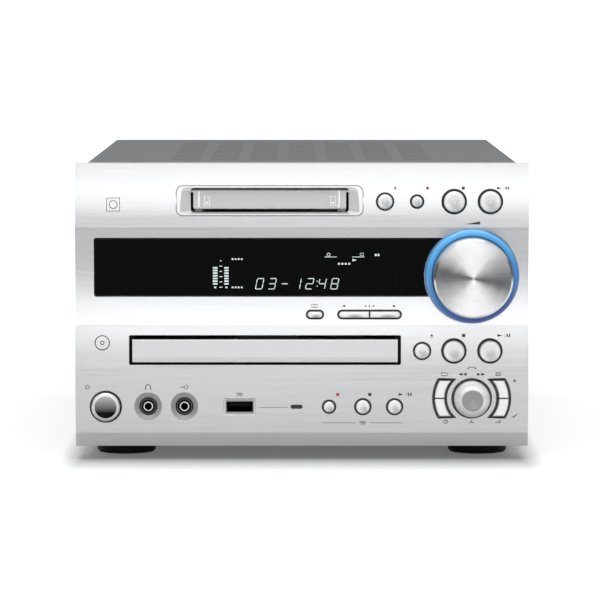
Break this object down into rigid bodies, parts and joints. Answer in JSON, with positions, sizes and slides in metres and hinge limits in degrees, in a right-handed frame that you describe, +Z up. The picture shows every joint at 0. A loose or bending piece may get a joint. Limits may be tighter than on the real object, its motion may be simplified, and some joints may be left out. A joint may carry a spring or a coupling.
{
  "type": "cd minidisc receiver",
  "caption": "Compact receiver with a loading disc drawer, a spring-door cartridge slot, a display window, press keys, a jog dial and a large volume knob in a lit ring.",
  "frame": {"origin": "middle of the footprint, on the surface that the feet stand on", "axes": "+X to the right seen from the front, +Y from the front panel to the back, +Z up"},
  "size_m": [0.23, 0.373, 0.151],
  "materials": {
    "panel_aluminium": "fine horizontal brushing, clear anodised",
    "knob_aluminium": "lathe-turned face, anodised",
    "frame_silver": "moulded, silver paint",
    "key_silver": "moulded, bright silver plating",
    "guide_black": "moulded, fine texture",
    "window_smoke": "polished smoked acrylic",
    "display_tube": "dark glass with lit segments",
    "ring_blue": "clear acrylic lit blue from behind",
    "jog_silver": "polished silver with a dark insert",
    "board_green": "solder mask over glass fibre",
    "cover_grey": "textured grey coating",
    "steel_zinc": "zinc-plated sheet",
    "moulded_black": "moulded",
    "gear_white": "moulded acetal",
    "motor_steel": "drawn can",
    "foot_black": "moulded",
    "core_steel": "laminated core, varnished",
    "sink_aluminium": "extruded, mill finish",
    "terminal_black": "moulded, plated metal inserts",
    "jack_black": "moulded bush with a plated lip",
    "shell_steel": "folded and nickel-plated",
    "screw_steel": "black zinc"
  },
  "bodies": {
    "cabinet": {"front_panel": "panel_aluminium", "front_frame": "frame_silver", "key_guide": "guide_black", "control_board": "board_green", "display_window": "window_smoke", "display_module": "display_tube", "volume_ring": "ring_blue", "usb_indicator": "moulded_black", "phone_jacks": "jack_black", "usb_port": "shell_steel", "md_bezel": "key_silver", "md_holder": "steel_zinc", "md_chassis": "steel_zinc", "loading_motor": "motor_steel", "cd_chassis": "moulded_black", "cd_traverse": "moulded_black", "top_cover": "cover_grey", "base_pan": "steel_zinc", "rear_panel": "cover_grey", "feet": "foot_black", "case_screws": "screw_steel", "power_transformer": "core_steel", "main_board": "board_green", "heat_sink": "sink_aluminium", "speaker_posts": "terminal_black", "rear_sockets": "terminal_black", "ac_inlet": "terminal_black"},
    "volume_knob": {"volume_knob": "knob_aluminium"},
    "jog_plunger": {"jog_plunger": "moulded_black"},
    "jog_dial": {"jog_dial": "jog_silver"},
    "tray": {"tray": "moulded_black", "tray_door": "key_silver"},
    "loading_gear": {"loading_gear": "gear_white"},
    "motor_pinion": {"motor_pinion": "gear_white"},
    "turntable": {"turntable": "moulded_black"},
    "clamper": {"clamper": "moulded_black"},
    "pickup": {"pickup": "moulded_black"},
    "md_door": {"md_door": "key_silver"},
    "md_eject_key": {"md_eject_key": "key_silver"},
    "md_record_key": {"md_record_key": "key_silver"},
    "md_stop_key": {"md_stop_key": "key_silver"},
    "md_play_key": {"md_play_key": "key_silver"},
    "cd_eject_key": {"cd_eject_key": "key_silver"},
    "cd_stop_key": {"cd_stop_key": "key_silver"},
    "cd_play_key": {"cd_play_key": "key_silver"},
    "usb_record_key": {"usb_record_key": "key_silver"},
    "usb_stop_key": {"usb_stop_key": "key_silver"},
    "usb_play_key": {"usb_play_key": "key_silver"},
    "power_key": {"power_key": "key_silver"},
    "display_key": {"display_key": "key_silver"},
    "input_left_key": {"input_left_key": "key_silver"},
    "input_right_key": {"input_right_key": "key_silver"},
    "group_key": {"group_key": "key_silver"},
    "timer_key": {"timer_key": "key_silver"},
    "menu_key": {"menu_key": "key_silver"},
    "mode_key": {"mode_key": "key_silver"},
    "speaker_cap_1": {"speaker_cap_1": "terminal_black"},
    "speaker_cap_2": {"speaker_cap_2": "terminal_black"},
    "speaker_cap_3": {"speaker_cap_3": "terminal_black"},
    "speaker_cap_4": {"speaker_cap_4": "terminal_black"}
  },
  "joints": [
    {"name": "md_eject_key_press", "type": "slide", "parent": "cabinet", "child": "md_eject_key", "axis": [0, 1, 0], "range_m": [0, 0.0008], "stiffness_N_per_m": 200, "springref_m": -0.001},
    {"name": "md_record_key_press", "type": "slide", "parent": "cabinet", "child": "md_record_key", "axis": [0, 1, 0], "range_m": [0, 0.0008], "stiffness_N_per_m": 200, "springref_m": -0.001},
    {"name": "md_stop_key_press", "type": "slide", "parent": "cabinet", "child": "md_stop_key", "axis": [0, 1, 0], "range_m": [0, 0.0008], "stiffness_N_per_m": 200, "springref_m": -0.001},
    {"name": "md_play_key_press", "type": "slide", "parent": "cabinet", "child": "md_play_key", "axis": [0, 1, 0], "range_m": [0, 0.0008], "stiffness_N_per_m": 200, "springref_m": -0.001},
    {"name": "cd_eject_key_press", "type": "slide", "parent": "cabinet", "child": "cd_eject_key", "axis": [0, 1, 0], "range_m": [0, 0.0008], "stiffness_N_per_m": 200, "springref_m": -0.001},
    {"name": "cd_stop_key_press", "type": "slide", "parent": "cabinet", "child": "cd_stop_key", "axis": [0, 1, 0], "range_m": [0, 0.0008], "stiffness_N_per_m": 200, "springref_m": -0.001},
    {"name": "cd_play_key_press", "type": "slide", "parent": "cabinet", "child": "cd_play_key", "axis": [0, 1, 0], "range_m": [0, 0.0008], "stiffness_N_per_m": 200, "springref_m": -0.001},
    {"name": "usb_record_key_press", "type": "slide", "parent": "cabinet", "child": "usb_record_key", "axis": [0, 1, 0], "range_m": [0, 0.0008], "stiffness_N_per_m": 200, "springref_m": -0.001},
    {"name": "usb_stop_key_press", "type": "slide", "parent": "cabinet", "child": "usb_stop_key", "axis": [0, 1, 0], "range_m": [0, 0.0008], "stiffness_N_per_m": 200, "springref_m": -0.001},
    {"name": "usb_play_key_press", "type": "slide", "parent": "cabinet", "child": "usb_play_key", "axis": [0, 1, 0], "range_m": [0, 0.0008], "stiffness_N_per_m": 200, "springref_m": -0.001},
    {"name": "power_key_press", "type": "slide", "parent": "cabinet", "child": "power_key", "axis": [0, 1, 0], "range_m": [0, 0.0008], "stiffness_N_per_m": 200, "springref_m": -0.001},
    {"name": "display_key_press", "type": "slide", "parent": "cabinet", "child": "display_key", "axis": [0, 1, 0], "range_m": [0, 0.0008], "stiffness_N_per_m": 200, "springref_m": -0.001},
    {"name": "input_left_key_press", "type": "slide", "parent": "cabinet", "child": "input_left_key", "axis": [0, 1, 0], "range_m": [0, 0.0008], "stiffness_N_per_m": 200, "springref_m": -0.001},
    {"name": "input_right_key_press", "type": "slide", "parent": "cabinet", "child": "input_right_key", "axis": [0, 1, 0], "range_m": [0, 0.0008], "stiffness_N_per_m": 200, "springref_m": -0.001},
    {"name": "group_key_press", "type": "slide", "parent": "cabinet", "child": "group_key", "axis": [0, 1, 0], "range_m": [0, 0.0008], "stiffness_N_per_m": 200, "springref_m": -0.001},
    {"name": "timer_key_press", "type": "slide", "parent": "cabinet", "child": "timer_key", "axis": [0, 1, 0], "range_m": [0, 0.0008], "stiffness_N_per_m": 200, "springref_m": -0.001},
    {"name": "menu_key_press", "type": "slide", "parent": "cabinet", "child": "menu_key", "axis": [0, 1, 0], "range_m": [0, 0.0008], "stiffness_N_per_m": 200, "springref_m": -0.001},
    {"name": "mode_key_press", "type": "slide", "parent": "cabinet", "child": "mode_key", "axis": [0, 1, 0], "range_m": [0, 0.0008], "stiffness_N_per_m": 200, "springref_m": -0.001},
    {"name": "volume_turn", "type": "hinge", "parent": "cabinet", "child": "volume_knob", "pos_m": [0.08625, -0.1695, 0.0943], "axis": [0, 1, 0], "continuous": true},
    {"name": "jog_press", "type": "slide", "parent": "cabinet", "child": "jog_plunger", "axis": [0, 1, 0], "range_m": [0, 0.0006], "stiffness_N_per_m": 300, "springref_m": -0.001},
    {"name": "jog_turn", "type": "hinge", "parent": "jog_plunger", "child": "jog_dial", "pos_m": [0.08625, -0.1695, 0.0321], "axis": [0, 1, 0], "continuous": true},
    {"name": "tray_slide", "type": "slide", "parent": "cabinet", "child": "tray", "axis": [0, -1, 0], "range_m": [0, 0.13]},
    {"name": "loading_gear_turn", "type": "hinge", "parent": "cabinet", "child": "loading_gear", "pos_m": [-0.0637, -0.1295, 0.044], "axis": [0, 0, 1], "range_deg": [0, 1065.1]},
    {"name": "motor_pinion_turn", "type": "hinge", "parent": "cabinet", "child": "motor_pinion", "pos_m": [-0.0637, -0.1085, 0.044], "axis": [0, 0, 1], "range_deg": [-2129.1, 0]},
    {"name": "turntable_spin", "type": "hinge", "parent": "cabinet", "child": "turntable", "pos_m": [-0.0187, -0.0995, 0.0465], "axis": [0, 0, 1], "continuous": true},
    {"name": "clamper_spin", "type": "hinge", "parent": "cabinet", "child": "clamper", "pos_m": [-0.0187, -0.0995, 0.07], "axis": [0, 0, 1], "continuous": true},
    {"name": "pickup_slide", "type": "slide", "parent": "cabinet", "child": "pickup", "axis": [0, 1, 0], "range_m": [0, 0.034]},
    {"name": "md_door_swing", "type": "hinge", "parent": "cabinet", "child": "md_door", "pos_m": [-0.0163, -0.1633, 0.1371], "axis": [1, 0, 0], "range_deg": [0, 80], "stiffness_Nm_per_rad": 0.001, "springref_deg": -11.46},
    {"name": "speaker_cap_1_turn", "type": "hinge", "parent": "cabinet", "child": "speaker_cap_1", "pos_m": [-0.0895, 0.1705, 0.0495], "axis": [0, 1, 0], "continuous": true},
    {"name": "speaker_cap_2_turn", "type": "hinge", "parent": "cabinet", "child": "speaker_cap_2", "pos_m": [-0.0705, 0.1705, 0.0495], "axis": [0, 1, 0], "continuous": true},
    {"name": "speaker_cap_3_turn", "type": "hinge", "parent": "cabinet", "child": "speaker_cap_3", "pos_m": [-0.0895, 0.1705, 0.0305], "axis": [0, 1, 0], "continuous": true},
    {"name": "speaker_cap_4_turn", "type": "hinge", "parent": "cabinet", "child": "speaker_cap_4", "pos_m": [-0.0705, 0.1705, 0.0305], "axis": [0, 1, 0], "continuous": true}
  ],
  "couplings": [
    {"joint": "loading_gear_turn", "follows": "tray_slide", "rad_per_m": 142.86},
    {"joint": "motor_pinion_turn", "follows": "tray_slide", "rad_per_m": -285.71}
  ]
}
